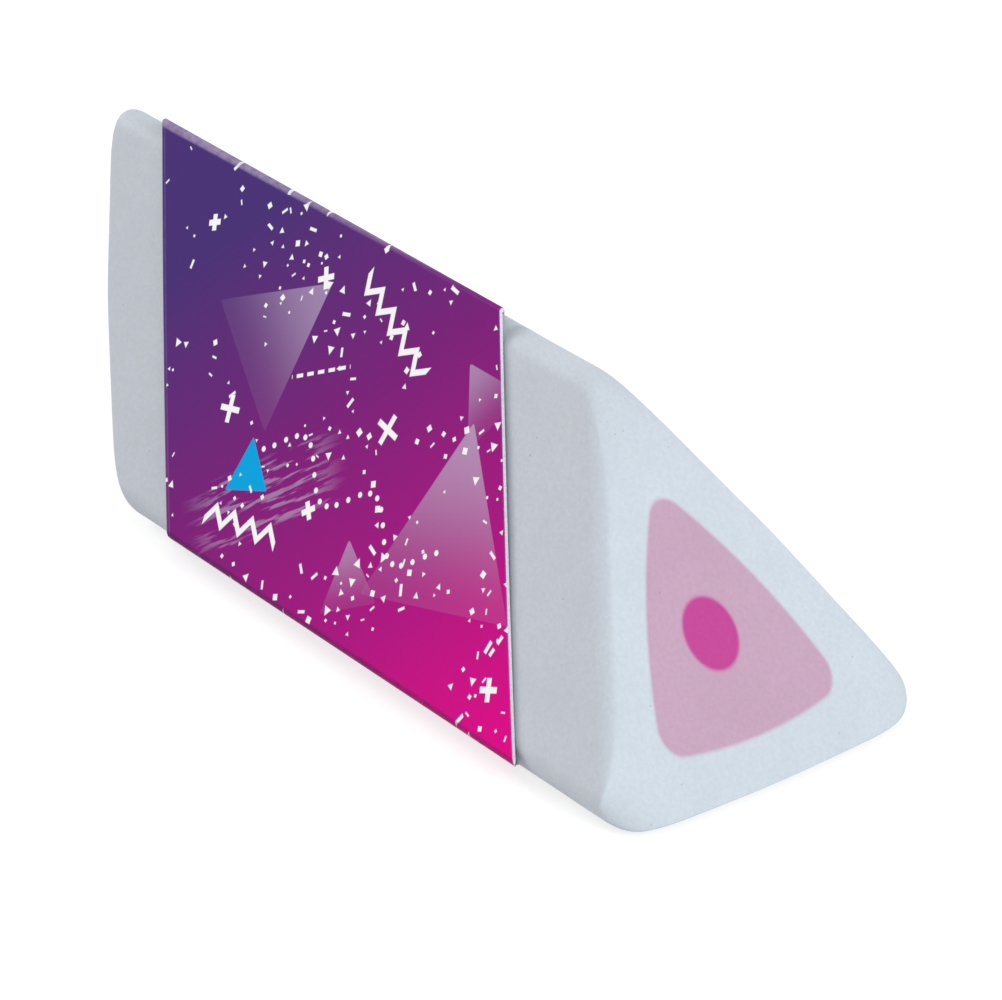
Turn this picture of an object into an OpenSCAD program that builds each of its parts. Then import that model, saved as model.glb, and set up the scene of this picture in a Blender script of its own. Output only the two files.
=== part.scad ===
// Three-sided eraser: a triangular block of soft vinyl with leaning ends, extruded in three colours,
// in a folded and glued card sleeve that slides along it.
// Millimetres. +X runs along the ridges towards the end that is bared for rubbing, +Z is up.
// The origin is on the underside of the sleeve, below the middle of the block.

/* [Block] */
// Width of one long face, between the sharp ridge lines
face_w = 21; // [18:0.5:26]
// Length along the ridges, between the two end planes
block_len = 43.7; // [38:0.1:60]
// Lean of the end planes from square, in degrees
end_slant = 38; // [0:1:45]
// Radius of the three long ridges
ridge_r = 1.3; // [0.6:0.1:2.2]
// Depth of the worn edge round each end face, square to the end plane
end_round_depth = 1; // [0.4:0.1:3]
// Distance that the worn edge draws the end face in from the long faces, near its corners
end_round_inset = 0.3; // [0.1:0.05:1]
// Height of the bow in each side of the end faces
end_bow = 0.25; // [0:0.05:0.3]
// Corner radius of the end faces
end_corner_r = 4; // [1.4:0.1:4.5]

/* [Colour layers] */
// Distance from the middle of the tinted layer to the middle of its sides
tint_half_w = 3.85; // [3:0.05:4.5]
// Radius of the tinted layer's bowed sides
tint_bow_r = 28; // [15:1:60]
// Radius of the tinted layer's corners
tint_corner_r = 1.3; // [0.6:0.1:2]
// Sideways shift of the tinted layer from the middle of the block
tint_shift_y = -0.2; // [-0.5:0.1:0.5]
// Upward shift of the tinted layer from the middle of the block
tint_shift_z = -0.1; // [-0.5:0.1:0.5]
// Diameter of the round centre layer
rod_d = 2.95; // [1.5:0.05:4]
// Sideways shift of the centre layer from the middle of the block
rod_shift_y = -0.45; // [-0.8:0.05:0.8]
// Upward shift of the centre layer from the middle of the block
rod_shift_z = 0.4; // [-0.8:0.05:0.8]

/* [Card sleeve] */
// Length of the sleeve along the ridges
sleeve_len = 30.2; // [20:0.2:32]
// Length of block left bare at the far end
far_show = 5.95; // [1:0.05:8]
// Thickness of the card
card_t = 0.15; // [0.1:0.05:0.4]
// Gap between the block and the sleeve
sleeve_gap = 0.05; // [0.03:0.01:0.15]
// Distance that the front panel runs on past the top ridge's rounding, to its crease
top_stand = 1.7; // [0.6:0.05:2]
// Distance that the front panel runs on past the lower front ridge's rounding, to its crease
front_stand = 1; // [0.4:0.05:1.8]
// Distance that the base panel runs on past the lower back ridge's rounding, to its crease
back_stand = 1; // [0.4:0.05:1.8]
// Radius inside the creases
crease_r = 0.1; // [0.05:0.05:0.4]
// Width of the glue flap inside the back panel
flap_w = 7; // [4:0.5:9]
// Thickness of the glue between the flap and the back panel
glue_t = 0.05; // [0.03:0.01:0.1]
// Distance from the flap's end and the seam to the glue
glue_margin = 0.8; // [0.3:0.1:1.5]
// Distance from the lower back ridge to the back panel's cut edge
seam_setback = 0.4; // [0.2:0.1:1]
// Length of back panel past the flap before it bends in to the block
flap_ease = 0.6; // [0.2:0.1:1.5]

/* [Hidden] */
$fn = 64;

// Directions, in the cross-section seen from the near end with +Y to the right
top_ridge = 90;
front_ridge = 210;
back_ridge = 330;
back_face = 30;
front_face = 150;
base_face = 270;

// Facets in a ridge, in a side of the block, in the card round a ridge, in a crease, in a tint corner
// and in a side of the tint
ridge_steps = 12;
side_steps = 6;
fold_steps = 8;
crease_steps = 6;
corner_steps = 8;
bow_steps = 6;
// Cross-sections that shape each worn end
end_steps = 8;

centre_h = face_w / (2 * sqrt(3));
base_z = card_t + sleeve_gap;
centre = [0, base_z + centre_h];
reach = 4 * (block_len + face_w);

// The tinted layer: each side is bowed about a point beyond the middle of the layer
tint_centre = centre + [tint_shift_y, tint_shift_z];
bow_offset = tint_bow_r - tint_half_w;
corner_span = tint_bow_r - tint_corner_r;
tint_corner_dist = (sqrt(4 * pow(corner_span, 2) - 3 * pow(bow_offset, 2)) - bow_offset) / 2;
bow_half = atan2(tint_corner_dist * sin(60), tint_corner_dist * cos(60) + bow_offset);

rod_centre = centre + [rod_shift_y, rod_shift_z];

sleeve_x = far_show + (sleeve_len - block_len) / 2;
fold_r = ridge_r + sleeve_gap;
back_lift = card_t + glue_t;
// Half the turn of the card in each crease
top_turn = atan(top_stand / fold_r);
front_turn = atan(front_stand / fold_r);
back_turn = atan(back_stand / fold_r);

function polar(r, a) = [r * cos(a), r * sin(a)];
function arc(mid, r, a0, a1, steps) = [for (i = [0:steps]) mid + polar(r, a0 + (a1 - a0) * i / steps)];
function inner_points(list) = [for (i = [1:len(list) - 2]) list[i]];
function reversed(list) = [for (i = [len(list) - 1:-1:0]) list[i]];

// Middle of a rounded corner of the block's triangle, drawn in from the faces by inset
function corner_mid(a, inset, r) = centre + polar(2 * (centre_h - inset - r), a);
// A side that faces a, bowed out in the middle, without its two ends
function bowed(from, to, a, bow) = [
    for (i = [1:side_steps - 1])
        let (t = i / side_steps)
        from + t * (to - from) + polar(4 * bow * t * (1 - t), a)
];
function section(inset, r, bow) = [
    for (a = [top_ridge, front_ridge, back_ridge])
        let (
            corner = arc(corner_mid(a, inset, r), r, a - 60, a + 60, ridge_steps),
            next = corner_mid(a + 120, inset, r) + polar(r, a + 60)
        )
        each concat(corner, bowed(corner[ridge_steps], next, a + 60, bow))
];

// Cross-section parallel to an end plane: turn runs from 0, where the edge starts to round, to 90
function station(end, turn) =
    let (
        depth = end_round_depth * (1 - sin(turn)),
        worn = 1 - cos(turn),
        r = ridge_r + (end_corner_r - ridge_r) * worn,
        x = end * (block_len / 2 - depth / cos(end_slant))
    )
    [
        for (p = section(end_round_inset * worn, r, end_bow * worn))
            [x - tan(end_slant) * (p[1] - centre[1]), p[0], p[1]]
    ];

// Point on the back panel: along runs up the face from the back ridge, out from the flap's inside
function on_back(along, out) =
    corner_mid(back_ridge, 0, ridge_r) + polar(fold_r + out, back_face) + polar(along, back_face + 90);

// The card round a ridge, out being the distance from its inside
function bend(ridge, a0, a1, out) =
    arc(corner_mid(ridge, 0, ridge_r), fold_r + out, a0, a1, fold_steps);

// A crease, where the card stands off the ridge and turns by twice half_turn about the direction a
function crease(ridge, a, half_turn, out) =
    let (mid = corner_mid(ridge, 0, ridge_r) + polar((fold_r - crease_r) / cos(half_turn), a))
    arc(mid, crease_r + out, a - half_turn, a + half_turn, crease_steps);

// One side of the card: up the back panel, over the top, down the front, under the base and up the flap
function card_path(out) = concat(
    [on_back(seam_setback, back_lift + out), on_back(flap_w + flap_ease, back_lift + out)],
    bend(top_ridge, back_face, front_face - 2 * top_turn, out),
    crease(top_ridge, front_face - top_turn, top_turn, out),
    crease(front_ridge, front_face + front_turn, front_turn, out),
    bend(front_ridge, front_face + 2 * front_turn, base_face, out),
    crease(back_ridge, base_face + back_turn, back_turn, out),
    bend(back_ridge, base_face + 2 * back_turn, back_face + 360, out),
    [on_back(flap_w, out)]
);

// One bowed side of the tinted layer, which faces a, and the corner after it
function tint_side(a) =
    let (
        bow_mid = tint_centre - polar(bow_offset, a),
        corner = tint_centre + polar(tint_corner_dist, a + 60)
    )
    concat(
        inner_points(arc(bow_mid, tint_bow_r, a - bow_half, a + bow_half, bow_steps)),
        arc(corner, tint_corner_r, a + bow_half, a + 120 - bow_half, corner_steps)
    );
tint_outline = [for (a = [back_face, front_face, base_face]) each tint_side(a)];

// Lengthwise bar of a cross-section's shape
module bar() {
    rotate([90, 0, 90])
        linear_extrude(height = reach, center = true)
            children();
}

// Space between two planes that lean like the block's ends, len apart along X
module leaning_slab(len) {
    translate([0, 0, centre[1]])
        rotate([0, -end_slant, 0])
            cube([len * cos(end_slant), reach, reach], center = true);
}

module block() {
    stations = concat(
        [for (i = [end_steps:-1:0]) station(-1, 90 * i / end_steps)],
        [for (i = [0:end_steps]) station(1, 90 * i / end_steps)]
    );
    count = len(stations[0]);
    last = len(stations) - 1;
    sides = [
        for (s = [0:last - 1], j = [0:count - 1])
            let (
                far = s * count + j,
                far_next = s * count + (j + 1) % count,
                near = far + count,
                near_next = far_next + count
            )
            each [[far, near, near_next], [far, near_next, far_next]]
    ];
    far_end = [for (j = [0:count - 1]) j];
    near_end = [for (j = [count - 1:-1:0]) last * count + j];
    polyhedron(points = [for (s = stations) each s], faces = concat(sides, [far_end, near_end]));
}

module tint_bar() {
    bar()
        polygon(tint_outline);
}

module rod_bar() {
    bar()
        translate(rod_centre)
            circle(d = rod_d);
}

module sleeve_cut() {
    intersection() {
        translate([sleeve_x, 0, 0])
            leaning_slab(sleeve_len);
        bar()
            children();
    }
}

// White outer layer of the block, with the channel that the tinted layer fills
module eraser_body() {
    color([0.88, 0.9, 0.92])
        difference() {
            block();
            tint_bar();
        }
}

// Pale tinted layer, open from end to end for the centre layer
module tint_core() {
    color([0.82, 0.66, 0.77])
        difference() {
            intersection() {
                leaning_slab(block_len);
                tint_bar();
            }
            rod_bar();
        }
}

// Round centre layer, in the strongest colour
module centre_core() {
    color([0.79, 0.3, 0.62])
        intersection() {
            leaning_slab(block_len);
            rod_bar();
        }
}

// One strip of card, folded round the three ridges, its flap tucked inside the back panel
module card_sleeve() {
    color([0.5, 0.14, 0.48])
        sleeve_cut()
            polygon(concat(card_path(0), reversed(card_path(card_t))));
}

// Line of glue that holds the back panel to the flap
module glue_strip() {
    color([0.93, 0.9, 0.78])
        sleeve_cut()
            polygon([
                on_back(seam_setback + glue_margin, card_t),
                on_back(flap_w - glue_margin, card_t),
                on_back(flap_w - glue_margin, back_lift),
                on_back(seam_setback + glue_margin, back_lift)
            ]);
}

eraser_body();
tint_core();
centre_core();
card_sleeve();
glue_strip();
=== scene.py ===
"""Looks of the three-sided eraser: a soft three-colour vinyl block in a printed card sleeve."""
import math
from collections import namedtuple

import bpy
import numpy as np
from mathutils import Matrix, Vector, noise


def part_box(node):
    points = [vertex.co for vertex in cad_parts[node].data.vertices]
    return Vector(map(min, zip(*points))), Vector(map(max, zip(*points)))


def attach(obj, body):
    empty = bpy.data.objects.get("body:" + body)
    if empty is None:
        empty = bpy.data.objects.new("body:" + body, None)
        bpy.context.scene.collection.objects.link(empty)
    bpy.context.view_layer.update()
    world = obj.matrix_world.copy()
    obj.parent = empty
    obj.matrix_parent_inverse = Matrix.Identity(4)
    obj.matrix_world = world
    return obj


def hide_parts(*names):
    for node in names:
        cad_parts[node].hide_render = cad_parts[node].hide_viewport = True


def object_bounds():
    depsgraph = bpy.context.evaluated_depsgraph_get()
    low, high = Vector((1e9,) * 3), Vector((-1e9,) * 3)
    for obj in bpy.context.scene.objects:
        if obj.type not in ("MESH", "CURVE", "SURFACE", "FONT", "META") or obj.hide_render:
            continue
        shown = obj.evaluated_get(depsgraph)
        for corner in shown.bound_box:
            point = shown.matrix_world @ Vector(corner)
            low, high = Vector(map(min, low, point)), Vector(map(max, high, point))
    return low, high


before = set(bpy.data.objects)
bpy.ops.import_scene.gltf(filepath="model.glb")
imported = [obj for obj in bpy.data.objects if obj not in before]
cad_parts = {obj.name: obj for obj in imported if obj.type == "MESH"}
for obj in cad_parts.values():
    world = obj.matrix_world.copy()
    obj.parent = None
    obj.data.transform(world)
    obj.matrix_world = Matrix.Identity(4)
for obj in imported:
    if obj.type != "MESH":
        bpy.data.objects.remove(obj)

CAD_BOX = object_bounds()
MM = 0.001

# Block
FACE_W = 21 * MM
BLOCK_LEN = 43.7 * MM
END_SLANT = math.radians(38)
RIDGE_R = 1.3 * MM
END_ROUND_DEPTH = 1.0 * MM
END_ROUND_INSET = 0.3 * MM
END_BOW = 0.25 * MM
END_CORNER_R = 4 * MM
# Rim of the near end, worn smoother: distance to its sides, and radii of its bowed sides and its corners
NEAR_HALF_W = 6.0 * MM
NEAR_BOW_R = 36 * MM
NEAR_CORNER_R = 4.4 * MM
# How far each side of that rim is swollen out, fading round the corners over so many degrees
FRONT_OUT, BACK_OUT, BASE_OUT = -0.42 * MM, 0.1 * MM, -0.08 * MM
OUT_FADE = 55
# How much deeper the round behind that rim is: the way it faces, by how much, and how far round it fades
DEEPER_ROUND = [(50, 0.6 * MM, 55), (150, -0.2 * MM, 55), (215, 0.6 * MM, 60)]
# Height of the slow and the quick unevenness of the long faces, and the lengths of both
SLOW_WAVE, QUICK_WAVE = 0.03 * MM, 0.012 * MM
SLOW_LEN, QUICK_LEN = 6 * MM, 1.7 * MM
# Where the quick unevenness starts in the noise, so that it is unlike the slow one
QUICK_START = Vector((31, 17, 5))

# Colour layers
TINT_HALF_W = 3.885 * MM
TINT_BOW_R = 28 * MM
TINT_CORNER_R = 1.1 * MM
TINT_SHIFT = np.array([-0.09, -0.13]) * MM
ROD_R = 1.515 * MM
ROD_SHIFT = np.array([-0.385, 0.33]) * MM
# Half width of the soft line where two colours meet
BLEED = 0.12 * MM
# Distances from such a line of the rings beside it, in the coloured layers and in the white one
COLOUR_BANDS = np.array([0, 0.3, 0.6, 1.0, 3.0]) * BLEED
WHITE_BANDS = np.append(np.array([0.8, 0.45, 0.25]) * MM, np.array([1.0, 0.6, 0.3, 0]) * BLEED)
# Places of the other rings on the end faces: shares of the way inwards, and of the rod's radius
WHITE_RINGS = (0.03, 0.2, 0.45, 0.72)
TINT_RINGS = (0.25, 0.5, 0.75)
ROD_RINGS = np.array([0.6, 0.25])

# Card sleeve
SLEEVE_LEN = 30.2 * MM
FAR_SHOW = 5.95 * MM
CARD_T = 0.15 * MM
SLEEVE_GAP = 0.05 * MM
TOP_STAND = 1.7 * MM
FRONT_STAND = 1.0 * MM
BACK_STAND = 1.0 * MM
CREASE_R = 0.1 * MM
FLAP_W = 7 * MM
GLUE_T = 0.05 * MM
GLUE_MARGIN = 0.8 * MM
SEAM_SETBACK = 0.4 * MM
FLAP_EASE = 0.6 * MM
# How far the glue's edges wander, and the pace along the film and the place in the noise of each
GLUE_WANDER = 0.35 * MM
LOW_EDGE, HIGH_EDGE = (0.31, 0.5, 2.0), (0.27, 7.5, 4.0)
# How far the upright panels stand out in the middle, and how much more at their ends, over what length
PANEL_BOW = 0.03 * MM
FLARE = 0.03 * MM
FLARE_LEN = 4 * MM
# How fast the cut ends step back behind the top crease and under the lower front crease, and how far round
TOP_TRIM, LOW_TRIM = 1.5, 1.5
LOW_TRIM_LEN = 1.6 * MM
# Tone of the print at the seam, at the three creases and at the flap's end
PANEL_TONES = [0.5, 0, 1, 0.5, 0.5]

# Directions in the cross-section, seen from the near end with +Y to the right
RIDGES = TOP_RIDGE, FRONT_RIDGE, BACK_RIDGE = 90, 210, 330
BACK_FACE, FRONT_FACE, BASE_FACE = 30, 150, 270

BASE_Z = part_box("eraser_body")[0].z
CENTRE_H = FACE_W / (2 * math.sqrt(3))
CENTRE = np.array([0, BASE_Z + CENTRE_H])
SLEEVE_MID = FAR_SHOW + (SLEEVE_LEN - BLOCK_LEN) / 2
FOLD_R = RIDGE_R + SLEEVE_GAP
BACK_LIFT = CARD_T + GLUE_T

# Mesh steps
ARC_STEPS = 20
SIDE_STEPS = 22
END_STEPS = 14
BLOCK_STEPS = 60
CARD_STEPS = 44
CREASE_STEPS = 10
LAP_STEPS = 8
STAND_STEPS = 4
# Angles less than this are nothing, in degrees
TINY_TURN = 1e-6

# Camera: where it looks from, the point in the middle of the picture, and its lens
CAMERA_AZIMUTH = math.radians(53.68)
CAMERA_ELEVATION = math.radians(28.42)
CAMERA_ROLL = math.radians(-1.76)
CAMERA_AIM = Vector((4.14, 0, 6.61)) * MM
CAMERA_DISTANCE = 268.4 * MM
CAMERA_LENS = 188.45
CAMERA_CLIP = 0.01, 20


# Outlines

def polar(r, degrees):
    a = np.radians(degrees)
    return np.array([r * np.cos(a), r * np.sin(a)])


def arc(mid, r, start, stop, steps):
    return [mid + polar(r, a) for a in np.linspace(start, stop, steps + 1)]


def corner_mid(a, inset=0.0, r=RIDGE_R):
    """Middle of a rounded corner of the block's triangle, drawn in from the long faces."""
    return CENTRE + polar(2 * (CENTRE_H - inset - r), a)


def rounded_triangle(inset, r, bow):
    """Outline of the block, drawn in from its long faces: each corner's arc, then the bowed side after it."""
    along = np.linspace(0, 1, SIDE_STEPS + 1)[1:-1, None]
    outline = []
    for a in RIDGES:
        corner = arc(corner_mid(a, inset, r), r, a - 60, a + 60, ARC_STEPS)
        after = corner_mid(a + 120, inset, r) + polar(r, a + 60)
        side = corner[-1] + (after - corner[-1]) * along + polar(bow, a + 60) * 4 * along * (1 - along)
        outline += [corner, side]
    return np.vstack(outline)


def bowed_triangle(mid, half_w, bow_r, corner_r):
    """Triangle whose round corners run smoothly into its bowed sides, and the way that each point faces."""
    offset = bow_r - half_w
    span = bow_r - corner_r
    reach = (math.sqrt(4 * span ** 2 - 3 * offset ** 2) - offset) / 2
    half = math.degrees(math.atan2(reach * math.sin(math.pi / 3), reach / 2 + offset))
    points, facing = [], []
    for a in RIDGES:
        turns = np.linspace(a - 60 + half, a + 60 - half, ARC_STEPS + 1)
        bows = np.linspace(a + 60 - half, a + 60 + half, SIDE_STEPS + 1)[1:-1]
        points += [mid + polar(reach, a) + polar(corner_r, turns).T]
        points += [mid - polar(offset, a + 60) + polar(bow_r, bows).T]
        facing += [*turns, *bows]
    return np.vstack(points), np.array(facing)


def towards(facing, way, fade):
    """1 where facing is way, falling to 0 where it is fade degrees off."""
    off = abs((facing - way + 180) % 360 - 180)
    return ease(np.clip(1 - off / fade, 0, 1))


def near_rim():
    """Outline of the near end face, and the depth of the round behind it at each point."""
    points, facing = bowed_triangle(CENTRE, NEAR_HALF_W, NEAR_BOW_R, NEAR_CORNER_R)
    sides = ((FRONT_FACE, FRONT_OUT), (BACK_FACE, BACK_OUT), (BASE_FACE, BASE_OUT))
    out = sum(by * towards(facing, face, OUT_FADE) for face, by in sides)
    depth = END_ROUND_DEPTH + sum(by * towards(facing, way, fade) for way, by, fade in DEEPER_ROUND)
    return points + polar(out, facing).T, depth


def tint_ring(grow):
    """Outline of the tinted layer, grown outwards."""
    mid = CENTRE + TINT_SHIFT
    return bowed_triangle(mid, TINT_HALF_W + grow, TINT_BOW_R + grow, TINT_CORNER_R + grow)[0]


def rod_ring(r):
    """Circle about the rod's middle, with as many points as the other outlines."""
    count = 3 * (ARC_STEPS + SIDE_STEPS)
    return np.array([CENTRE + ROD_SHIFT + polar(r, 30 + 360 * i / count) for i in range(count)])


def lean(ring, x):
    """A cross-section set on a plane that leans like the block's ends and crosses its middle at x."""
    return np.column_stack([x - math.tan(END_SLANT) * (ring[:, 1] - CENTRE[1]), ring])


def end_rim(end):
    """Outline of an end face, and the depth of the round behind it."""
    if end > 0:
        return near_rim()
    return rounded_triangle(END_ROUND_INSET, END_CORNER_R, END_BOW), END_ROUND_DEPTH


def block_station(end, turn):
    """The block's outline near an end: turn is 0 where the edge starts to round, and 90 at the end face."""
    c, s = math.cos(math.radians(turn)), math.sin(math.radians(turn))
    shaft = rounded_triangle(0, RIDGE_R, 0)
    rim, depth = end_rim(end)
    ring = shaft + (rim - shaft) * (1 - c)
    return lean(ring, end * (BLOCK_LEN / 2 - depth * (1 - s) / math.cos(END_SLANT)))


# Meshes

def mesh_piece(name, points, faces, smooth_angle=None):
    mesh = bpy.data.meshes.new(name)
    mesh.from_pydata([tuple(p) for p in points], [], faces)
    mesh.update()
    mesh.polygons.foreach_set("use_smooth", [True] * len(mesh.polygons))
    if smooth_angle is not None:
        mesh.set_sharp_from_angle(angle=math.radians(smooth_angle))
    piece = bpy.data.objects.new(name, mesh)
    bpy.context.scene.collection.objects.link(piece)
    return piece


def surface_value(piece, name, values, domain="POINT"):
    """A number at each point or face corner, for the piece's materials."""
    layer = piece.data.attributes.new(name, "FLOAT", domain)
    layer.data.foreach_set("value", np.asarray(values, dtype=np.float32))


def tube_faces(rings, count):
    """Quads over a closed loop of rings, each of count points: the last ring joins the first."""
    faces = []
    for i in range(rings):
        a, b = i * count, (i + 1) % rings * count
        faces += [(a + j, a + (j + 1) % count, b + (j + 1) % count, b + j) for j in range(count)]
    return faces


def bleed_at(distance):
    """Share of the neighbour's colour at a distance from the line where two layers meet."""
    return 1 - ease(np.clip(0.5 + 0.5 * distance / BLEED, 0, 1))


def ease(t):
    return t * t * (3 - 2 * t)


# One ring of a layer, its share of the neighbour's colour, and whether the surface there is uneven
Station = namedtuple("Station", "ring bleed wavy", defaults=(0.0, 0.0))


def uneven(points):
    """Small outward shift at each point, as on soft vinyl that was pressed and handled."""
    shift = []
    for p in points:
        slow = noise.noise(Vector(p) / SLOW_LEN)
        quick = noise.noise(Vector(p) / QUICK_LEN + QUICK_START)
        shift.append(SLOW_WAVE * slow + QUICK_WAVE * quick)
    return np.array(shift)


def sharpen(piece, rings, count):
    """Hard edges along some of a piece's rings."""
    for edge in piece.data.edges:
        a, b = (v // count for v in edge.vertices)
        edge.use_edge_sharp = a == b and a in rings


def layered_piece(name, stations, hard_rings):
    """A closed piece from a loop of stations, which runs along the outside and back through the channel."""
    points = np.vstack([s.ring for s in stations])
    count = len(stations[0].ring)
    piece = mesh_piece(name, points, tube_faces(len(stations), count))
    sharpen(piece, hard_rings, count)
    wavy = np.repeat([s.wavy for s in stations], count)
    normals = np.array([v.vector for v in piece.data.vertex_normals])
    points = points + normals * (uneven(points) * wavy)[:, None]
    piece.data.vertices.foreach_set("co", points.ravel())
    piece.data.update()
    surface_value(piece, "bleed", np.repeat([s.bleed for s in stations], count))
    return piece


def block_piece():
    """White layer: the outside with its worn ends, the end faces, and the channel for the tinted layer."""

    def end_face(end):
        rim = block_station(end, 90)
        inner = [Station(lean(tint_ring(d), end * BLOCK_LEN / 2), bleed_at(d)) for d in WHITE_BANDS]
        first = inner[0].ring
        return [Station(rim + (first - rim) * t) for t in WHITE_RINGS] + inner

    turns = np.linspace(0, 90, END_STEPS + 1)
    far = [Station(block_station(-1, t), 0, 1 - t / 90) for t in turns]
    near = [Station(block_station(1, t), 0, 1 - t / 90) for t in turns]
    start, stop = far[0].ring, near[0].ring
    middle = [Station(start + (stop - start) * i / BLOCK_STEPS, 0, 1) for i in range(1, BLOCK_STEPS)]
    stations = end_face(-1)[::-1] + far[::-1] + middle + near + end_face(1)
    return layered_piece("vinyl_block", stations, (0, len(stations) - 1))


def tint_piece():
    """Pale pink layer, with the channel for the centre layer."""

    def end_face(end):
        x = end * BLOCK_LEN / 2
        outer = [Station(lean(tint_ring(-d), x), bleed_at(d)) for d in COLOUR_BANDS]
        inner = [Station(lean(rod_ring(ROD_R + d), x), -bleed_at(d)) for d in COLOUR_BANDS[::-1]]
        a, b = outer[-1].ring, inner[0].ring
        return outer + [Station(a + (b - a) * t) for t in TINT_RINGS] + inner

    far, near = end_face(-1)[::-1], end_face(1)
    hard_rings = (0, len(far) - 1, len(far), len(far) + len(near) - 1)
    return layered_piece("tint_layer", far + near, hard_rings)


def rod_piece():
    """Magenta centre layer: a round rod, cut off flush with the end faces."""
    radii = ROD_R - COLOUR_BANDS
    radii = np.append(radii, radii[-1] * ROD_RINGS)
    values = bleed_at(ROD_R - radii)
    far = [lean(rod_ring(r), -BLOCK_LEN / 2) for r in radii[::-1]]
    near = [lean(rod_ring(r), BLOCK_LEN / 2) for r in radii]
    rings = far + near
    count = len(rings[0])
    last = (len(rings) - 1) * count
    faces = tube_faces(len(rings), count)[:-count]
    faces += [tuple(range(count - 1, -1, -1)), tuple(range(last, last + count))]
    piece = mesh_piece("centre_layer", np.vstack(rings), faces, smooth_angle=40)
    surface_value(piece, "bleed", np.repeat(np.concatenate([values[::-1], values]), count))
    return piece


# One step along the folded card: a point inside, the way it faces, whether it is creased, its give, its panel
Step = namedtuple("Step", "point facing crease give panel")


def on_back(along, out):
    """Point on the back panel, up from the lower back ridge and out from the flap's inside."""
    return corner_mid(BACK_RIDGE) + polar(FOLD_R + out, BACK_FACE) + polar(along, BACK_FACE + 90)


def bend(ridge, start, stop, panel):
    """Card that lies round a ridge."""
    steps = max(3, round(ARC_STEPS * abs(stop - start) / 120))
    mid = corner_mid(ridge)
    return [Step(mid + polar(FOLD_R, a), a, 0, 0, panel) for a in np.linspace(start, stop, steps + 1)]


def crease(ridge, way, half, before, after):
    """Crease that stands off a ridge; the panel changes in its middle."""
    mid = corner_mid(ridge) + polar((FOLD_R - CREASE_R) / math.cos(math.radians(half)), way)
    turns = np.linspace(-half, half, CREASE_STEPS + 1)
    return [Step(mid + polar(CREASE_R, way + t), way + t, 1, 0, before if t < -TINY_TURN else after)
            for t in turns]


def flat(a, b, facing, give, panel, steps):
    """Card between two steps; give swells to its middle."""
    return [Step(a.point + (b.point - a.point) * t, facing, 0, give * 4 * t * (1 - t), panel)
            for t in np.linspace(0, 1, steps + 1)[1:-1]]


def half_turn(stand):
    """Half the turn of the card in a crease that stands off its ridge."""
    return math.degrees(math.atan(stand / FOLD_R))


def back_panel():
    """The back panel's card from its seam, over the flap and then eased in to the block."""
    lap = FLAP_W + FLAP_EASE
    rise = FACE_W - 2 * math.sqrt(3) * RIDGE_R
    over = np.linspace(SEAM_SETBACK, lap, LAP_STEPS + 1)
    steps = [Step(on_back(u, BACK_LIFT), BACK_FACE, 0, 0, "back") for u in over]
    for t in np.linspace(0, 1, SIDE_STEPS + 1)[1:-1]:
        point = on_back(lap + (rise - lap) * t, BACK_LIFT * (1 - ease(t)))
        steps.append(Step(point, BACK_FACE, 0, 4 * t * (1 - t), "back"))
    return steps


def card_path():
    """The card from its seam, up the back, over the top, down the front, under the base and up the flap."""
    up, front, back = half_turn(TOP_STAND), half_turn(FRONT_STAND), half_turn(BACK_STAND)
    top_bend = bend(TOP_RIDGE, BACK_FACE, FRONT_FACE - 2 * up, "back")
    top = crease(TOP_RIDGE, FRONT_FACE - up, up, "back", "front")
    low = crease(FRONT_RIDGE, FRONT_FACE + front, front, "front", "base")
    low_bend = bend(FRONT_RIDGE, FRONT_FACE + 2 * front, BASE_FACE, "base")
    rear = crease(BACK_RIDGE, BASE_FACE + back, back, "base", "flap")
    rear_bend = bend(BACK_RIDGE, BASE_FACE + 2 * back, BACK_FACE + 360, "flap")
    tucked = np.linspace(0, FLAP_W, LAP_STEPS + 1)[1:]
    flap = [Step(on_back(u, 0), BACK_FACE, 0, 0, "tuck") for u in tucked]
    path = back_panel() + top_bend
    path += flat(top_bend[-1], top[0], top[0].facing, 0, "back", STAND_STEPS) + top
    path += flat(top[-1], low[0], FRONT_FACE, 1, "front", SIDE_STEPS) + low
    path += flat(low[-1], low_bend[0], low_bend[0].facing, 0, "base", STAND_STEPS) + low_bend
    path += flat(low_bend[-1], rear[0], BASE_FACE, 0, "base", SIDE_STEPS) + rear
    path += flat(rear[-1], rear_bend[0], rear_bend[0].facing, 0, "flap", STAND_STEPS) + rear_bend
    return path + flap


def stand_off(along):
    """How far the upright panels stand off along the sleeve: a bow all along, and a flare at the ends."""
    near_end = np.clip((abs(along) - SLEEVE_LEN / 2 + FLARE_LEN) / FLARE_LEN, 0, 1)
    return PANEL_BOW + FLARE * ease(near_end)


# Kinds of surface on the card, by the place of their materials
PRINTED, BARE, CUT = 0, 1, 2


def card_faces(path, cols):
    """Faces of the strip with their surface kind and the row that they start from."""
    rows = len(path)

    def at(side, col, row):
        return (side * cols + col) * rows + row

    faces = []
    for c in range(cols - 1):
        for r in range(rows - 1):
            tucked = path[r].panel == "tuck"
            outer = (at(0, c, r), at(0, c, r + 1), at(0, c + 1, r + 1), at(0, c + 1, r))
            inner = (at(1, c, r), at(1, c + 1, r), at(1, c + 1, r + 1), at(1, c, r + 1))
            faces += [(outer, BARE if tucked else PRINTED, r), (inner, BARE, r)]
        for r, order in ((0, -1), (rows - 1, 1)):
            edge = (at(0, c, r), at(1, c, r), at(1, c + 1, r), at(0, c + 1, r))
            faces.append((edge[::order], CUT, r))
    for c, order in ((0, 1), (cols - 1, -1)):
        for r in range(rows - 1):
            edge = (at(0, c, r), at(1, c, r), at(1, c, r + 1), at(0, c, r + 1))
            faces.append((edge[::order], CUT, r))
    return faces


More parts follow.
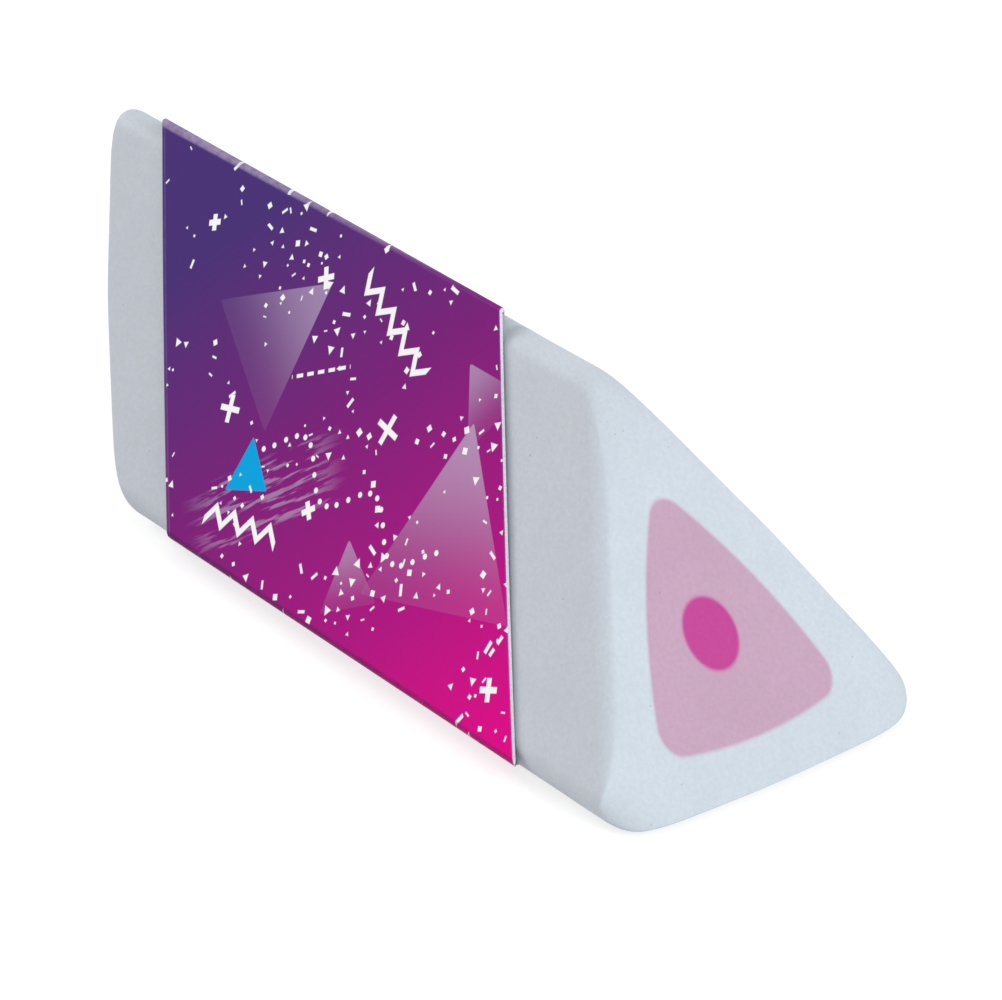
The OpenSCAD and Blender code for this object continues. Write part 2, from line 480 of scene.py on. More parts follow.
def girth_along(path):
    """Distance round the card at each step."""
    inside = np.array([s.point for s in path])
    return np.concatenate([[0], np.cumsum(np.linalg.norm(np.diff(inside, axis=0), axis=1))])


def crease_girths(path):
    """Distance round the card at the three creases."""
    return [g for g, a, b in zip(girth_along(path), path, path[1:]) if a.crease and b.panel != a.panel]


def top_trim(path):
    """How far the cut ends step back where the card turns on to the back panel, and the girth there."""
    girth, (top, _, _) = girth_along(path), crease_girths(path)
    start = max(g for g, s in zip(girth, path) if s.give > 0 and g < top)
    return TOP_TRIM * (top - start), start


def trim(path):
    """Step back of the cut ends all round: nothing on the front, most just past its creases."""
    girth, (top, low, rear) = girth_along(path), crease_girths(path)
    back, start = top_trim(path)
    flap = back * (FLAP_W - SEAM_SETBACK) / start
    under = LOW_TRIM * LOW_TRIM_LEN
    at = [0, start, top, low, low + LOW_TRIM_LEN, rear, girth[-1] - FLAP_W, girth[-1]]
    return np.interp(girth, at, [0, back, 0, 0, under, 0, 0, flap])


def panel_middles(path, girth):
    """Girth at the middle of each panel, and +1 where the panel rises with the girth."""
    found = {}
    for name, sense in (("back", 1), ("front", -1), ("base", 1)):
        g = [s for s, step in zip(girth, path) if step.panel == name and step.crease == 0]
        found[name] = ((min(g) + max(g)) / 2, sense)
    found["flap"] = found["tuck"] = found["base"]
    return found


def sleeve_piece():
    """One strip of card with its thickness: printed outside, bare inside, and cut edges all round."""
    path = card_path()
    inside = np.array([s.point for s in path])
    facing = np.array([polar(1, s.facing) for s in path])
    give = np.array([s.give for s in path])[:, None]
    along = np.linspace(-SLEEVE_LEN / 2, SLEEVE_LEN / 2, CARD_STEPS + 1)
    rows, cols = len(path), len(along)
    middle = SLEEVE_MID - trim(path)
    points = []
    for side in (CARD_T, 0):
        for p in along:
            points.append(lean(inside + facing * (side + give * stand_off(p)), middle + p))
    points = np.vstack(points)
    girth = girth_along(path)

    faces = card_faces(path, cols)
    piece = mesh_piece("printed_sleeve", points, [f for f, _, _ in faces], smooth_angle=50)
    piece.data.polygons.foreach_set("material_index", [kind for _, kind, _ in faces])

    middles = panel_middles(path, girth)
    rise = []
    for face, _, row in faces:
        panel_middle, sense = middles[path[row].panel]
        rise += [sense * (girth[v % rows] - panel_middle) / MM for v in face]
    tone = np.interp(girth, [0, *crease_girths(path), girth[-1]], PANEL_TONES)
    surface_value(piece, "along", np.tile(np.repeat(along, rows), 2) / MM)
    surface_value(piece, "run", (points[:, 0] - SLEEVE_MID) / MM)
    surface_value(piece, "rise", rise, "CORNER")
    surface_value(piece, "girth", np.tile(girth / MM, 2 * cols))
    surface_value(piece, "tone", np.tile(tone, 2 * cols))
    return piece


def waver(step, edge):
    """How far an edge of the glue lies from its line at a step along the film."""
    pace, *start = edge
    return GLUE_WANDER * noise.noise(Vector((step * pace, *start)))


def glue_piece():
    """Thin film of glue with wavering edges, between the flap and the back panel."""
    along = np.linspace(-SLEEVE_LEN / 2, SLEEVE_LEN / 2, CARD_STEPS + 1)
    back, start = top_trim(card_path())
    rings = []
    for i, p in enumerate(along):
        low = SEAM_SETBACK + GLUE_MARGIN + waver(i, LOW_EDGE)
        high = FLAP_W - GLUE_MARGIN + waver(i, HIGH_EDGE)
        corners = [(low, CARD_T), (high, CARD_T), (high, BACK_LIFT), (low, BACK_LIFT)]
        middle = np.array([SLEEVE_MID + p - back * (u - SEAM_SETBACK) / start for u, _ in corners])
        rings.append(lean(np.array([on_back(u, out) for u, out in corners]), middle))
    last = (len(rings) - 1) * 4
    faces = [f[::-1] for f in tube_faces(len(rings), 4)[:-4]]
    faces += [(0, 1, 2, 3), (last + 3, last + 2, last + 1, last)]
    return mesh_piece("glue_film", np.vstack(rings), faces, smooth_angle=30)


# Shader helpers

# Half width of the soft edge of large and small marks
SOFT, SMALL_SOFT = 0.025, 0.03
# How far the middles of cells are off their grid
CELL_JITTER = 0.8


class Field:
    """A number that varies over a surface: arithmetic on it adds shader nodes."""

    def __init__(self, tree, socket):
        self.tree, self.socket = tree, socket

    def op(self, operation, *others):
        node = self.tree.nodes.new("ShaderNodeMath")
        node.operation = operation
        for slot, value in zip(node.inputs, (self, *others)):
            feed(self.tree, slot, value)
        return Field(self.tree, node.outputs[0])

    def __add__(self, other):
        return self.op("ADD", other)

    def __sub__(self, other):
        return self.op("SUBTRACT", other)

    def __mul__(self, other):
        return self.op("MULTIPLY", other)

    def __neg__(self):
        return self.op("MULTIPLY", -1)

    def __abs__(self):
        return self.op("ABSOLUTE")

    def least(self, other):
        return self.op("MINIMUM", other)

    def most(self, other):
        return self.op("MAXIMUM", other)

    def ramp(self, low, high):
        """0 at low, 1 at high, eased; low may be the larger."""
        node = self.tree.nodes.new("ShaderNodeMapRange")
        node.interpolation_type = "SMOOTHSTEP"
        feed(self.tree, node.inputs["Value"], self)
        node.inputs["From Min"].default_value = low
        node.inputs["From Max"].default_value = high
        return Field(self.tree, node.outputs["Result"])

    def inside(self, soft=SOFT):
        """1 where this signed distance is negative."""
        return self.ramp(soft, -soft)


def feed(tree, slot, value):
    """A field or a constant for a node's slot."""
    if isinstance(value, Field):
        tree.links.new(value.socket, slot)
    else:
        slot.default_value = value


def length(x, y):
    return (x * x + y * y).op("SQRT")


def attribute(tree, name):
    node = tree.nodes.new("ShaderNodeAttribute")
    node.attribute_name = name
    return Field(tree, node.outputs["Fac"])


def place(tree):
    """Object coordinates in millimetres."""
    node = tree.nodes.new("ShaderNodeTexCoord")
    grow = tree.nodes.new("ShaderNodeVectorMath")
    grow.operation = "SCALE"
    grow.inputs["Scale"].default_value = 1 / MM
    tree.links.new(node.outputs["Object"], grow.inputs[0])
    return grow.outputs[0]


def parts(tree, socket):
    """The three numbers of a vector or a colour."""
    kind = "ShaderNodeSeparateColor" if socket.type == "RGBA" else "ShaderNodeSeparateXYZ"
    node = tree.nodes.new(kind)
    tree.links.new(socket, node.inputs[0])
    return [Field(tree, out) for out in node.outputs]


def flat_place(x, y):
    """A vector of two numbers."""
    node = x.tree.nodes.new("ShaderNodeCombineXYZ")
    feed(x.tree, node.inputs["X"], x)
    feed(x.tree, node.inputs["Y"], y)
    return node.outputs[0]


def cells(tree, vector, scale, planar):
    """Cells of a jittered grid: distance to a cell's middle, the middle's place, and three random numbers."""
    node = tree.nodes.new("ShaderNodeTexVoronoi")
    node.voronoi_dimensions = "2D" if planar else "3D"
    node.inputs["Scale"].default_value = scale
    node.inputs["Randomness"].default_value = CELL_JITTER
    tree.links.new(vector, node.inputs["Vector"])
    distance = Field(tree, node.outputs["Distance"])
    return distance, node.outputs["Position"], parts(tree, node.outputs["Color"])


def cloud(tree, vector, scale, detail=3.0, roughness=0.55):
    node = tree.nodes.new("ShaderNodeTexNoise")
    node.inputs["Scale"].default_value = scale
    node.inputs["Detail"].default_value = detail
    node.inputs["Roughness"].default_value = roughness
    tree.links.new(vector, node.inputs["Vector"])
    return Field(tree, node.outputs["Fac"])


def mix(tree, share, a, b):
    """Colour a to b by share; each is a colour or a colour socket."""
    node = tree.nodes.new("ShaderNodeMix")
    node.data_type = "RGBA"
    feed(tree, node.inputs["Factor"], share)
    slots = [s for s in node.inputs if s.type == "RGBA"]
    for slot, colour in zip(slots, (a, b)):
        if isinstance(colour, bpy.types.NodeSocket):
            tree.links.new(colour, slot)
        else:
            slot.default_value = (*colour, 1)
    return [s for s in node.outputs if s.type == "RGBA"][0]


def bump(tree, height, distance, strength, normal=None):
    node = tree.nodes.new("ShaderNodeBump")
    node.inputs["Strength"].default_value = strength
    node.inputs["Distance"].default_value = distance
    tree.links.new(height.socket, node.inputs["Height"])
    if normal is not None:
        tree.links.new(normal, node.inputs["Normal"])
    return node.outputs["Normal"]


def new_material(name):
    material = bpy.data.materials.new(name)
    material.use_nodes = True
    tree = material.node_tree
    return material, tree, tree.nodes["Principled BSDF"]


def vary_roughness(shader, pattern, least, varies):
    """Roughness that follows a pattern."""
    pattern.tree.links.new((pattern * varies + least).socket, shader.inputs["Roughness"])


def linear(c):
    """Linear value of a screen value between 0 and 1, by the sRGB curve."""
    return c / 12.92 if c <= 0.04045 else ((c + 0.055) / 1.055) ** 2.4


def srgb(r, g, b):
    """Linear colour of an 8-bit screen colour."""
    return linear(r / 255), linear(g / 255), linear(b / 255)


def darker(colour, by):
    return tuple(c * (1 - by) for c in colour)


# Colours

WHITE_VINYL = srgb(204, 209, 218)
PINK_VINYL = srgb(195, 157, 181)
MAGENTA_VINYL = srgb(192, 58, 143)
SPECK = srgb(128, 132, 142)
# Grey of the painted shadow beside the sleeve's mouths and of the painted shade over the far end
SHADOW_GREY = srgb(148, 155, 166)
VIOLET_INK = srgb(74, 49, 121)
PLUM_INK = srgb(107, 39, 123)
PURPLE_INK = srgb(128, 31, 125)
CERISE_INK = srgb(173, 20, 133)
MAGENTA_INK = srgb(236, 0, 141)
LILAC_INK = srgb(206, 184, 218)
CYAN_INK = srgb(0, 168, 230)
WHITE_INK = srgb(255, 255, 255)
# Pale ink of the wear and of the painted highlight along the top crease and inside the far cut end
WEAR_HIGHLIGHT_INK = srgb(196, 178, 206)
# Dark ink of the painted shade along the lower front crease
CREASE_SHADE_INK = srgb(64, 34, 66)
CARD_WHITE = srgb(236, 236, 232)
CARD_GREY = srgb(214, 212, 204)
CUT_WHITE = srgb(226, 225, 234)
CUT_GREY = srgb(200, 196, 210)
GLUE_PALE = srgb(236, 226, 196)
GLUE_DARK = srgb(214, 200, 160)


# Materials

# Cells for specks in a millimetre, their least radius and how it varies in cells, and the share without one
SPECK_CELLS, SPECK_R, SPECK_VARIES, SPECK_FREE = 2.0, 0.05, 0.1, 0.9
# End of the sleeve, how strong the painted shadow of the card's cut edge is beside that mouth, and how much
# painted shade darkens the block from there on
MOUTH_SHADOWS = ((1, 0.42, 0.0), (-1, 0.16, 0.1))
# Where the painted shadow starts and ends, in millimetres past the mouth, and how patchy it is
SHADOW_START, SHADOW_END, SHADOW_PATCHY = -0.5, 0.95, 0.5
# How much clouds and grain darken the vinyl, and the shares of grain and specks
CLOUD_DARK, GRAIN_DARK, GRAIN_SHARE, SPECK_SHARE = 0.035, 0.17, 0.5, 0.4


def specks(tree, where):
    """Sparse tiny dark specks, about one in every ten square millimetres."""
    distance, _, (chance, size, _) = cells(tree, where, SPECK_CELLS, planar=False)
    speck = (distance - (size * SPECK_VARIES + SPECK_R)).inside(SMALL_SOFT)
    return speck * chance.op("GREATER_THAN", SPECK_FREE)


def mouth_shadow(tree, where):
    """Share of painted shadow of the card's cut edge beside each mouth of the sleeve, and of painted shade
    over the far end.
    """
    x, _, z = parts(tree, where)
    along = x + (z - CENTRE[1] / MM) * math.tan(END_SLANT) - SLEEVE_MID / MM
    share = 0
    for end, strength, shade_beyond in MOUTH_SHADOWS:
        past = along * end - SLEEVE_LEN / MM / 2
        fade = past.ramp(SHADOW_END, 0.0)
        share = (fade * fade * strength + shade_beyond) * past.ramp(SHADOW_START, 0.0) + share
    shade_patches = cloud(tree, where, scale=0.9, detail=4.0, roughness=0.6)
    return share * (shade_patches * SHADOW_PATCHY + (1 - SHADOW_PATCHY / 2))


def vinyl_material(name, colour, outer, inner=None):
    """Matte vinyl: faint clouds, a soft grain, sparse specks, and a soft line to the layers beside it."""
    material, tree, shader = new_material(name)
    where = place(tree)
    clouds = cloud(tree, where, scale=0.35, detail=4.0)
    grain = cloud(tree, where, scale=4.5, detail=3.0, roughness=0.65)
    base = mix(tree, clouds.ramp(0.3, 0.7), colour, darker(colour, CLOUD_DARK))
    base = mix(tree, grain.ramp(0.25, 0.75) * GRAIN_SHARE, base, darker(colour, GRAIN_DARK))
    # Painted shadow of the card's cut edge beside each mouth, and painted shade over the far end of the block
    if name == "white_vinyl":
        base = mix(tree, mouth_shadow(tree, where), base, SHADOW_GREY)
    bleed = attribute(tree, "bleed")
    base = mix(tree, bleed.most(0), base, outer)
    if inner is not None:
        base = mix(tree, (-bleed).most(0), base, inner)
    base = mix(tree, specks(tree, where) * SPECK_SHARE, base, SPECK)
    tree.links.new(base, shader.inputs["Base Color"])
    dents = cloud(tree, where, scale=0.7, detail=2.0)
    dented = bump(tree, dents, distance=0.06 * MM, strength=0.5)
    normal = bump(tree, grain, distance=0.012 * MM, strength=0.7, normal=dented)
    tree.links.new(normal, shader.inputs["Normal"])
    vary_roughness(shader, clouds, least=0.52, varies=0.14)
    shader.inputs["Specular IOR Level"].default_value = 0.3
    return material


def card_material():
    """Bare grey-white back of the card, with its fibres."""
    material, tree, shader = new_material("bare_card")
    fibres = cloud(tree, place(tree), scale=3.2, detail=6.0, roughness=0.7)
    tree.links.new(mix(tree, fibres.ramp(0.35, 0.7), CARD_WHITE, CARD_GREY), shader.inputs["Base Color"])
    tree.links.new(bump(tree, fibres, distance=0.02 * MM, strength=0.6), shader.inputs["Normal"])
    shader.inputs["Roughness"].default_value = 0.85
    shader.inputs["Specular IOR Level"].default_value = 0.2
    return material


def edge_material():
    """Cut edge of the card: white board, a little furred."""
    material, tree, shader = new_material("cut_card")
    fur = cloud(tree, place(tree), scale=9.0, detail=4.0, roughness=0.7)
    tree.links.new(mix(tree, fur.ramp(0.3, 0.75), CUT_WHITE, CUT_GREY), shader.inputs["Base Color"])
    tree.links.new(bump(tree, fur, distance=0.03 * MM, strength=0.6), shader.inputs["Normal"])
    shader.inputs["Roughness"].default_value = 0.9
    shader.inputs["Specular IOR Level"].default_value = 0.2
    return material


def glue_material():
    """Dried yellowish glue."""
    material, tree, shader = new_material("dried_glue")
    patches = cloud(tree, place(tree), scale=1.4, detail=3.0)
    tree.links.new(mix(tree, patches, GLUE_PALE, GLUE_DARK), shader.inputs["Base Color"])
    vary_roughness(shader, patches, least=0.25, varies=0.3)
    return material


# Print, in millimetres on a panel: along the block from the sleeve's middle, and up from the panel's middle

SIN_60, COS_60 = 0.866, 0.5


def spot(along, up):
    """A place on a panel as (run, rise): the panel's ends lean, so what is higher lies further back."""
    return along - up * math.tan(END_SLANT) * math.sin(math.pi / 3), up


def turned(x, y, centre, degrees):
    """Coordinates about centre, turned by an angle."""
    dx, dy = x - centre[0], y - centre[1]
    c, s = math.cos(math.radians(degrees)), math.sin(math.radians(degrees))
    return dx * c + dy * s, dy * c - dx * s


def triangle(x, y, inner_r, round_r):
    """Signed distance to a triangle that points along +Y, its corners rounded."""
    right = x * SIN_60 + y * COS_60
    left = x * -SIN_60 + y * COS_60
    return right.op("SMOOTH_MAX", left, round_r).op("SMOOTH_MAX", -y, round_r) - inner_r


def bar(x, y, half_l, half_w):
    """Signed distance to a bar along X."""
    return (abs(x) - half_l).most(abs(y) - half_w)


def plus(x, y, arm, half_w):
    """Signed distance to a plus sign."""
    return bar(x, y, arm, half_w).least(bar(x, y, half_w, arm))


def zigzag(x, y, teeth, tooth, height, half_w):
    """Signed distance to a zigzag line along X."""
    saw = (x + teeth * tooth).op("PINGPONG", tooth / 2) - tooth / 4
    slope = height / (tooth / 4)
    line = abs(y - saw * slope) * (1 / math.hypot(1, slope)) - half_w
    return line.most(abs(x) - teeth * tooth / 2)


def beaded_wave(x, y, half_l, height, wave, pitch, bead):
    """Signed distance to a row of dots along a wave."""
    near = (x * (1 / pitch)).op("ROUND") * pitch
    lift = (near * (2 * math.pi / wave)).op("SINE") * height
    return (length(x - near, y - lift) - bead).most(abs(x) - half_l)


def dash_row(x, y, half_l, pitch, half_dash, half_w):
    """Signed distance to a row of short dashes along X."""
    near = (x * (1 / pitch)).op("ROUND") * pitch
    return bar(x - near, y, half_dash, half_w).most(abs(x) - half_l)


# Along and up, turn, half length and half width of the band, and the stretch and fineness of its streaks
BRUSH_BAND = (-8.6, -5.0), 40, 6.5, 2.2
STREAK_STRETCH, STREAK_FINE = 0.25, 2.4
BRUSH_SHARE = 0.42
# Along and up, inner radius, turn, strength, and the rounding of the corners, the least share and its rise
GLASS_TRIANGLES = [
    ((7.4, -2.2), 3.2, 14, 0.62),
    ((-7.6, 2.4), 2.5, -34, 0.55),
    ((11.2, 5.2), 1.3, 60, 0.55),
    ((-1.2, -6.6), 1.2, 30, 0.5),
]
GLASS_ROUND = 0.3
GLASS_LEAST, GLASS_RISE = 0.1, 0.85
# Along and up, inner radius, turn, rounding of the corners
CYAN_TRIANGLE = (-10.0, -4.4), 0.95, 20, 0.2
# Along and up, arm, turn, and half the width of the line
PLUS_SIGNS = [
    ((-11.6, -2.0), 0.75, 12),
    ((-2.6, 6.6), 0.6, 30),
    ((2.6, 1.4), 0.85, -10),
    ((10.6, -7.2), 0.6, 22),
    ((-4.6, -4.4), 0.5, 40),
    ((13.0, 1.2), 0.5, 5),
    ((-12.8, 6.2), 0.45, 24),
]
PLUS_LINE = 0.16
# Along and up, turn, teeth, and the length and height of a tooth and half the width of the line
ZIGZAGS = [((3.4, 6.2), -24, 5), ((-10.8, -7.0), 8, 4)]
TOOTH = 1.5, 0.45, 0.16
# Along and up, turn, half length, and the pitch, half length and half width of the dashes
DASH_ROWS = [((13.2, -3.2), 74, 2.6), ((-3.2, 2.2), 28, 2.2)]
DASH = 0.8, 0.24, 0.1
# Along and up, turn, and the wave's half length, height and length, the pitch and the radius of the beads
BEADED_WAVE = (-1.0, -2.8), -6
BEADS = 7.6, 1.1, 6.5, 0.62, 0.15
# Size of a confetti cell, least radius of a piece and how it varies, and the chances where its shape changes
CONFETTI_CELL = 0.98
CONFETTI_R, CONFETTI_VARIES = 0.085, 0.17
TRIANGLE_FROM, DASH_FROM = 0.4, 0.72
# How a third chance is made from two, and where in a slow cloud the confetti starts and is thickest
CHANCE_MIX = 7.3, 3.1
CROWD_START, CROWD_FULL = 0.4, 0.64
# Ink wear at the cut ends and the back crease, and the painted highlight inside the far cut end: millimetres
# from a line where it ends and where it is full, and its strength
CUT_WEAR = 0.14, 0.03, 0.4
FAR_HIGHLIGHT = 0.1, 0.03, 0.3
REAR_WEAR = 0.4, 0.05, 0.5
# How far inside the far cut end its painted highlight line is
FAR_HIGHLIGHT_AT = 0.24
# Painted highlight along the top crease, which narrows and weakens towards the near end, by so much a
# millimetre
TOP_HIGHLIGHT_END, TOP_HIGHLIGHT_FULL, TOP_HIGHLIGHT_STRENGTH = 0.38, 0.2, 1.3
TOP_NARROWS, TOP_WEAKENS = 0.0125, 0.02
# Share of the pale ink of wear and painted highlight
WEAR_HIGHLIGHT_SHARE = 0.36
# How much scuffs vary the wear and the painted highlight
SCUFFED = 0.4
# Painted shade along the lower front crease: millimetres from it where it ends and where it is full, and its
# share
CREASE_SHADE_END, CREASE_SHADE_FULL, CREASE_SHADE_SHARE = 0.19, 0.05, 0.3
# Share of the blend that is due to the way along the sleeve, and the inks along the blend
ALONG_SHARE = 0.5
BLEND_START = 0.2
BLEND_INKS = ((0.39, PLUM_INK), (0.5, PURPLE_INK), (0.73, CERISE_INK))


def print_blend(tree):
    """Violet at the far top corner of the front to magenta at its near lower corner."""
    far_to_near = attribute(tree, "along") * (ALONG_SHARE / (SLEEVE_LEN / MM)) + ALONG_SHARE / 2
    blend = attribute(tree, "tone") * (1 - ALONG_SHARE) + far_to_near
    ramp = tree.nodes.new("ShaderNodeValToRGB")
    first, last = ramp.color_ramp.elements
    first.position = BLEND_START
    first.color = (*VIOLET_INK, 1)
    last.color = (*MAGENTA_INK, 1)
    for at, ink in BLEND_INKS:
        ramp.color_ramp.elements.new(at).color = (*ink, 1)
    tree.links.new(blend.socket, ramp.inputs["Fac"])
    return ramp.outputs["Color"]


def confetti(tree, run, girth):
    """Scattered small diamonds, triangles and dashes, thick in some places and thin in others."""
    _, middle, (turn, size, kind) = cells(tree, flat_place(run, girth), 1 / CONFETTI_CELL, planar=True)
    mid_run, mid_girth, _ = parts(tree, middle)
    dx, dy = run - mid_run, girth - mid_girth
    c, s = (turn * math.tau).op("COSINE"), (turn * math.tau).op("SINE")
    x, y = dx * c + dy * s, dy * c - dx * s
    r = size * size * CONFETTI_VARIES + CONFETTI_R
    diamond = abs(x) + abs(y) - r
    wedge = triangle(x, y, inner_r=r * 0.6, round_r=0.02)
    dash = bar(x, y, half_l=r * 1.35, half_w=r * 0.42)
    shape = diamond + (wedge - diamond) * kind.op("GREATER_THAN", TRIANGLE_FROM)
    shape = shape + (dash - shape) * kind.op("GREATER_THAN", DASH_FROM)
    chance = (turn * CHANCE_MIX[0] + kind * CHANCE_MIX[1]).op("FRACT")
    crowd = cloud(tree, middle, scale=0.17, detail=1.0).ramp(CROWD_START, CROWD_FULL)
    return shape.inside(SMALL_SOFT) * crowd.op("GREATER_THAN", chance)


def brush_marks(tree, run, rise, centre, turn, half_l, half_w):
    """Dry brush strokes inside a slanted band."""
    x, y = turned(run, rise, centre, turn)
    stretched = flat_place(x * STREAK_STRETCH, y * STREAK_FINE)
    streaks = cloud(tree, stretched, scale=1.0, detail=3.0, roughness=0.6)
    ends = abs(x).ramp(half_l, half_l * 0.4)
    return streaks.ramp(0.5, 0.58) * ends * abs(y).ramp(half_w, half_w * 0.7)


def line_share(distance, end, full, strength):
    """Share of ink wear, painted highlight and painted shade beside a line, by the distance from it."""
    return distance.ramp(end, full) * strength


def wear_and_highlight(tree, along, girth):
    """Share of ink rubbed off along the back crease and at the cut ends, and of painted highlight along the
    top crease and just inside the far cut end.
    """
    half = SLEEVE_LEN / MM / 2
    top, _, rear = [g / MM for g in crease_girths(card_path())]
    wear_highlight = line_share(-abs(along) + half, *CUT_WEAR)
    wear_highlight = wear_highlight.most(line_share(abs(along + (half - FAR_HIGHLIGHT_AT)), *FAR_HIGHLIGHT))
    band = abs(girth - top) + (along + half) * TOP_NARROWS
    strength = along * -TOP_WEAKENS + TOP_HIGHLIGHT_STRENGTH
    wear_highlight = wear_highlight.most(line_share(band, TOP_HIGHLIGHT_END, TOP_HIGHLIGHT_FULL, strength))
    wear_highlight = wear_highlight.most(line_share(abs(girth - rear), *REAR_WEAR))
    scuffs = cloud(tree, place(tree), scale=1.7, detail=5.0, roughness=0.7)
    return wear_highlight * (scuffs.ramp(0.35, 0.65) * SCUFFED + (1 - SCUFFED))


def low_crease_shade(tree, girth):
    """Share of painted shade along the lower front crease, which faces down."""
    _, low, _ = crease_girths(card_path())
    shade_patches = cloud(tree, place(tree), scale=0.8, detail=4.0, roughness=0.6)
    share = shade_patches.ramp(0.3, 0.7) * CREASE_SHADE_SHARE + CREASE_SHADE_SHARE
    return line_share(abs(girth - low / MM), CREASE_SHADE_END, CREASE_SHADE_FULL, share)


def white_motifs(tree, run, rise, girth):
    """Share of white: confetti, zigzags, rows of dashes, a beaded wave and plus signs."""
    white = confetti(tree, run, girth)
    for centre, turn, teeth in ZIGZAGS:
        x, y = turned(run, rise, spot(*centre), turn)
        white = white.most(zigzag(x, y, teeth, *TOOTH).inside())
    for centre, turn, half_l in DASH_ROWS:
        x, y = turned(run, rise, spot(*centre), turn)
        white = white.most(dash_row(x, y, half_l, *DASH).inside())
    centre, turn = BEADED_WAVE
    x, y = turned(run, rise, spot(*centre), turn)
    white = white.most(beaded_wave(x, y, *BEADS).inside())
    for centre, arm, turn in PLUS_SIGNS:
        x, y = turned(run, rise, spot(*centre), turn)
        white = white.most(plus(x, y, arm, PLUS_LINE).inside())
    return white


def print_ink(tree):
    """The print's colour: a blend with triangles, brush marks, zigzags, plus signs and confetti on it."""
    run, rise, girth = attribute(tree, "run"), attribute(tree, "rise"), attribute(tree, "girth")
    ink = print_blend(tree)
    centre, *band = BRUSH_BAND
    strokes = brush_marks(tree, run, rise, spot(*centre), *band)
    ink = mix(tree, strokes * BRUSH_SHARE, ink, LILAC_INK)
    for centre, inner_r, turn, strength in GLASS_TRIANGLES:
        x, y = turned(run, rise, spot(*centre), turn)
        fade = y.ramp(-inner_r, inner_r * 2) * GLASS_RISE + GLASS_LEAST
        glass = triangle(x, y, inner_r, GLASS_ROUND).inside()
        ink = mix(tree, glass * fade * strength, ink, LILAC_INK)
    centre, inner_r, turn, round_r = CYAN_TRIANGLE
    x, y = turned(run, rise, spot(*centre), turn)
    ink = mix(tree, triangle(x, y, inner_r, round_r).inside(), ink, CYAN_INK)
    ink = mix(tree, white_motifs(tree, run, rise, girth), ink, WHITE_INK)
    # Ink worn pale at the cut ends and back crease, and painted highlight along the top crease and inside the
    # far cut end
    ink = mix(tree, wear_and_highlight(tree, attribute(tree, "along"), girth) * WEAR_HIGHLIGHT_SHARE, ink, WEAR_HIGHLIGHT_INK)
    # Painted shade along the lower front crease
    return mix(tree, low_crease_shade(tree, girth), ink, CREASE_SHADE_INK)


def print_material():
    """Satin print on card."""
    material, tree, shader = new_material("printed_card")
    tree.links.new(print_ink(tree), shader.inputs["Base Color"])
    tooth = cloud(tree, place(tree), scale=5.0, detail=3.0)
    tree.links.new(bump(tree, tooth, distance=0.006 * MM, strength=0.5), shader.inputs["Normal"])
    vary_roughness(shader, tooth, least=0.34, varies=0.1)
    shader.inputs["Specular IOR Level"].default_value = 0.04
    return material


# Studio

FILL_STRENGTH = 0.685
FILL_COLOUR = (1, 0.99, 0.98, 1)
# Where each lamp is from the object, its distance, width and power
KEY = (Vector((0.87, 0.12, 0.47)), 0.4, 0.2, 0.72)
SIDE = (Vector((-0.85, -0.19, 0.49)), 0.7, 0.2, 1.68)
KEY_COLOUR = (0.87, 1.0, 1.03)
SIDE_COLOUR = (1.0, 1.0, 1.0)
FLOOR_HALF = 1.6
# How far the floor is below the sleeve, its grey to lamps and to the camera, and its glow to the camera
FLOOR_DROP = 0.05 * MM
FLOOR_LIT, FLOOR_SEEN, FLOOR_GLOW = 0.8, 0.32, 0.76
# Rays that see the white studio
SEEING_RAYS = ("Is Camera Ray", "Is Glossy Ray", "Is Transmission Ray")


def seen_or_lit(tree, lit, seen, output):
    """Lamps and bounces meet lit; the camera, mirrors and glass see seen."""
    path = tree.nodes.new("ShaderNodeLightPath")
    direct, glossy, through = [Field(tree, path.outputs[kind]) for kind in SEEING_RAYS]
    choice = tree.nodes.new("ShaderNodeMixShader")
    tree.links.new(direct.most(glossy).most(through).socket, choice.inputs[0])
    tree.links.new(lit, choice.inputs[1])
    tree.links.new(seen, choice.inputs[2])
    tree.links.new(choice.outputs[0], output)


def white_world():
    """Soft light from all round; the camera sees white."""
    world = bpy.data.worlds.new("studio")
    bpy.context.scene.world = world
    world.use_nodes = True
    tree = world.node_tree
    fill = tree.nodes["Background"]
    fill.inputs["Color"].default_value = FILL_COLOUR
    fill.inputs["Strength"].default_value = FILL_STRENGTH
    white = tree.nodes.new("ShaderNodeBackground")
    white.inputs["Color"].default_value = (1, 1, 1, 1)
    seen_or_lit(tree, fill.outputs[0], white.outputs[0], tree.nodes["World Output"].inputs["Surface"])


def floor_material():
    """Pale floor: white to the camera, with the object's soft shadow on it."""
    material, tree, shader = new_material("floor")
    shader.inputs["Base Color"].default_value = (FLOOR_LIT, FLOOR_LIT, FLOOR_LIT, 1)
    shader.inputs["Roughness"].default_value = 1.0
    shader.inputs["Specular IOR Level"].default_value = 0.0
    matte = tree.nodes.new("ShaderNodeBsdfDiffuse")
    matte.inputs["Color"].default_value = (FLOOR_SEEN, FLOOR_SEEN, FLOOR_SEEN, 1)
    glow = tree.nodes.new("ShaderNodeEmission")
    glow.inputs["Strength"].default_value = FLOOR_GLOW
    both = tree.nodes.new("ShaderNodeAddShader")
    tree.links.new(matte.outputs[0], both.inputs[0])
    tree.links.new(glow.outputs[0], both.inputs[1])
    seen_or_lit(tree, shader.outputs[0], both.outputs[0], tree.nodes["Material Output"].inputs["Surface"])
    return material


def floor_piece():
    s = FLOOR_HALF
    floor = mesh_piece("floor", [(-s, -s, 0), (s, -s, 0), (s, s, 0), (-s, s, 0)], [(0, 1, 2, 3)])
    floor.location.z = CAD_BOX[0].z - FLOOR_DROP
    floor.data.materials.append(floor_material())


